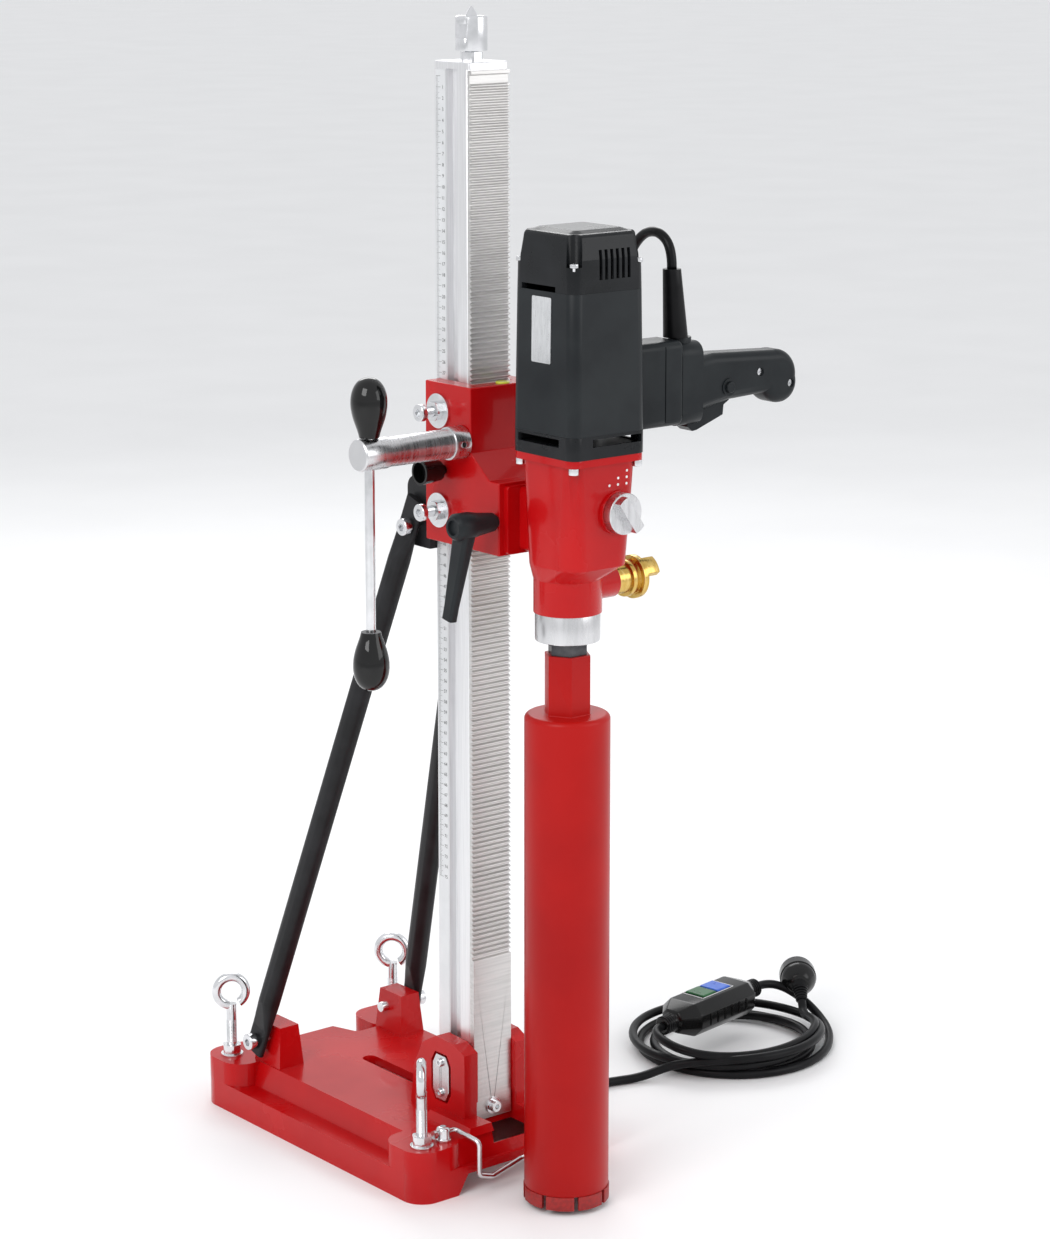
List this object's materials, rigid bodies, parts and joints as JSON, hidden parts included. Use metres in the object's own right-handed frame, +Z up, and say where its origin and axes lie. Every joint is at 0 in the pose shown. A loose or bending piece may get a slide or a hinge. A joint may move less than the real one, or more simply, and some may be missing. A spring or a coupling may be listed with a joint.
{
  "type": "core drill rig",
  "caption": "Core drill rig: rack column with back struts on a slotted base, crank-fed carriage, hand-grip drill motor, long core bit, coiled mains lead with safety switch.",
  "frame": {"origin": "on the floor, under the middle of the anchor slot in the base", "axes": "+Z up along the column, -Y to the front where the bit is, +X to the side of the drill's hand grip"},
  "size_m": [0.7028, 0.4985, 1.0918],
  "materials": {
    "red_paint": "gloss enamel",
    "black_paint": "satin powder coat",
    "column_aluminium": "drawn and anodised",
    "machined_aluminium": "turned",
    "rack_steel": "milled",
    "scale_film": "satin printed film",
    "zinc_steel": "bright zinc plate",
    "bearing_steel": "ground",
    "glossy_black": "polished",
    "dark_plastic": "fine moulded grain",
    "brass_fitting": "turned",
    "vial": "clear cap over yellow-green liquid",
    "diamond_segments": "sintered",
    "cord_rubber": "matt",
    "green_button": "moulded",
    "blue_button": "moulded"
  },
  "bodies": {
    "base": {"base_casting": "red_paint", "column": "column_aluminium", "scale_strip": "scale_film", "column_cap": "column_aluminium", "gear_rack": "rack_steel", "stand_fasteners": "zinc_steel", "clamp_plates": "machined_aluminium", "strut_bracket": "black_paint", "struts": "black_paint", "pointer_clamp": "zinc_steel", "cord_lead": "cord_rubber", "cord_coil": "cord_rubber", "safety_switch": "cord_rubber", "mains_plug": "cord_rubber"},
    "jack": {"jack_screw": "zinc_steel"},
    "leveller_front_left": {"levelling_screw_front_left": "zinc_steel"},
    "leveller_front_right": {"levelling_screw_front_right": "zinc_steel"},
    "leveller_back_left": {"levelling_screw_back_left": "zinc_steel"},
    "leveller_back_right": {"levelling_screw_back_right": "zinc_steel"},
    "pointer": {"centre_pointer": "zinc_steel"},
    "carriage": {"carriage_housing": "red_paint", "mount_plate": "machined_aluminium", "spirit_level": "vial", "roller_axles": "zinc_steel", "gearbox_housing": "red_paint", "bearing_plate": "bearing_steel", "bearings": "bearing_steel", "water_collar": "machined_aluminium", "water_coupling": "brass_fitting", "motor_end_ring": "dark_plastic", "motor_housing": "dark_plastic", "motor_cover": "dark_plastic", "stator": "bearing_steel", "brush_holders": "machined_aluminium", "nameplate": "machined_aluminium", "switch_box": "dark_plastic", "grip": "dark_plastic", "drill_screws": "zinc_steel", "cable_boot": "cord_rubber"},
    "roller_lower_left": {"guide_roller_lower_left": "bearing_steel"},
    "roller_upper_left": {"guide_roller_upper_left": "bearing_steel"},
    "roller_lower_right": {"guide_roller_lower_right": "bearing_steel"},
    "roller_upper_right": {"guide_roller_upper_right": "bearing_steel"},
    "crank": {"pinion_shaft": "bearing_steel", "crank_hub": "machined_aluminium"},
    "crank_arm": {"crank_bar": "zinc_steel", "crank_knobs": "glossy_black"},
    "lever": {"clamp_lever": "dark_plastic"},
    "lock": {"lock_knob": "glossy_black"},
    "output": {"spindle": "bearing_steel", "core_bit": "red_paint", "bit_segments": "diamond_segments"},
    "middle_shaft": {"layshaft": "bearing_steel"},
    "rotor": {"armature": "bearing_steel", "fan": "dark_plastic"},
    "gear_selector": {"gear_knob": "machined_aluminium"},
    "trigger_body": {"trigger": "dark_plastic"},
    "lock_button_body": {"lock_button": "dark_plastic"},
    "test_button_body": {"test_button": "green_button"},
    "reset_button_body": {"reset_button": "blue_button"}
  },
  "joints": [
    {"name": "carriage_slide", "type": "slide", "parent": "base", "child": "carriage", "axis": [0, 0, 1], "range_m": [-0.47, 0.27], "deforming": ["cord_lead"]},
    {"name": "crank_turn", "type": "hinge", "parent": "carriage", "child": "crank", "pos_m": [0, -0.14725, 0.704], "axis": [1, 0, 0], "range_deg": [-2080, 3610]},
    {"name": "roller_upper_left_spin", "type": "hinge", "parent": "carriage", "child": "roller_upper_left", "pos_m": [-0.0169, -0.113, 0.728], "axis": [1, 0, 0], "range_deg": [-3860, 2220]},
    {"name": "roller_upper_right_spin", "type": "hinge", "parent": "carriage", "child": "roller_upper_right", "pos_m": [0.0169, -0.113, 0.728], "axis": [1, 0, 0], "range_deg": [-3860, 2220]},
    {"name": "roller_lower_left_spin", "type": "hinge", "parent": "carriage", "child": "roller_lower_left", "pos_m": [-0.0169, -0.113, 0.636], "axis": [1, 0, 0], "range_deg": [-2220, 3860]},
    {"name": "roller_lower_right_spin", "type": "hinge", "parent": "carriage", "child": "roller_lower_right", "pos_m": [0.0169, -0.113, 0.636], "axis": [1, 0, 0], "range_deg": [-2220, 3860]},
    {"name": "crank_arm_slide", "type": "slide", "parent": "crank", "child": "crank_arm", "axis": [0, 0, 1], "range_m": [0, 0.145]},
    {"name": "clamp_lever_turn", "type": "hinge", "parent": "carriage", "child": "lever", "pos_m": [-0.0394, -0.1957, 0.638], "axis": [1, 0, 0], "range_deg": [-90, 0]},
    {"name": "lock_knob_turn", "type": "hinge", "parent": "carriage", "child": "lock", "pos_m": [-0.045, -0.12, 0.6745], "axis": [1, 0, 0], "range_deg": [-360, 0]},
    {"name": "spindle_spin", "type": "hinge", "parent": "carriage", "child": "output", "pos_m": [0, -0.25, 0.6], "axis": [0, 0, 1], "continuous": true},
    {"name": "layshaft_spin", "type": "hinge", "parent": "carriage", "child": "middle_shaft", "pos_m": [0.01854, -0.2575, 0.66], "axis": [0, 0, 1], "continuous": true},
    {"name": "armature_spin", "type": "hinge", "parent": "carriage", "child": "rotor", "pos_m": [0, -0.265, 0.78], "axis": [0, 0, 1], "continuous": true},
    {"name": "gear_knob_turn", "type": "hinge", "parent": "carriage", "child": "gear_selector", "pos_m": [0.014, -0.303, 0.656], "axis": [0, -1, 0], "range_deg": [-70, 0]},
    {"name": "trigger_pull", "type": "hinge", "parent": "carriage", "child": "trigger_body", "pos_m": [0.17, -0.265, 0.738], "axis": [0, 1, 0], "range_deg": [0, 4], "stiffness_Nm_per_rad": 1, "springref_deg": -5.73},
    {"name": "lock_button_press", "type": "slide", "parent": "carriage", "child": "lock_button_body", "axis": [0, 1, 0], "range_m": [0, 0.003], "stiffness_N_per_m": 300, "springref_m": -0.002},
    {"name": "test_button_press", "type": "slide", "parent": "base", "child": "test_button_body", "axis": [0, 0, -1], "range_m": [0, 0.002], "stiffness_N_per_m": 300, "springref_m": -0.002},
    {"name": "reset_button_press", "type": "slide", "parent": "base", "child": "reset_button_body", "axis": [0, 0, -1], "range_m": [0, 0.002], "stiffness_N_per_m": 300, "springref_m": -0.002},
    {"name": "jack_screw_slide", "type": "slide", "parent": "base", "child": "jack", "axis": [0, 0, 1], "range_m": [0, 0.055]},
    {"name": "centre_pointer_swing", "type": "hinge", "parent": "base", "child": "pointer", "pos_m": [-0.076, -0.162, 0.058], "axis": [1, 0, 0], "range_deg": [-140, 0]},
    {"name": "levelling_screw_front_left_slide", "type": "slide", "parent": "base", "child": "leveller_front_left", "axis": [0, 0, 1], "range_m": [-0.012, 0.015]},
    {"name": "levelling_screw_front_right_slide", "type": "slide", "parent": "base", "child": "leveller_front_right", "axis": [0, 0, 1], "range_m": [-0.012, 0.015]},
    {"name": "levelling_screw_back_left_slide", "type": "slide", "parent": "base", "child": "leveller_back_left", "axis": [0, 0, 1], "range_m": [-0.012, 0.015]},
    {"name": "levelling_screw_back_right_slide", "type": "slide", "parent": "base", "child": "leveller_back_right", "axis": [0, 0, 1], "range_m": [-0.012, 0.015]}
  ],
  "couplings": [
    {"joint": "crank_turn", "follows": "carriage_slide", "rad_per_m": -133.33},
    {"joint": "roller_upper_left_spin", "follows": "carriage_slide", "rad_per_m": 142.86},
    {"joint": "roller_upper_right_spin", "follows": "carriage_slide", "rad_per_m": 142.86},
    {"joint": "roller_lower_left_spin", "follows": "carriage_slide", "rad_per_m": -142.86},
    {"joint": "roller_lower_right_spin", "follows": "carriage_slide", "rad_per_m": -142.86},
    {"joint": "layshaft_spin", "follows": "spindle_spin", "ratio": -2.2},
    {"joint": "armature_spin", "follows": "spindle_spin", "ratio": 6.6}
  ]
}
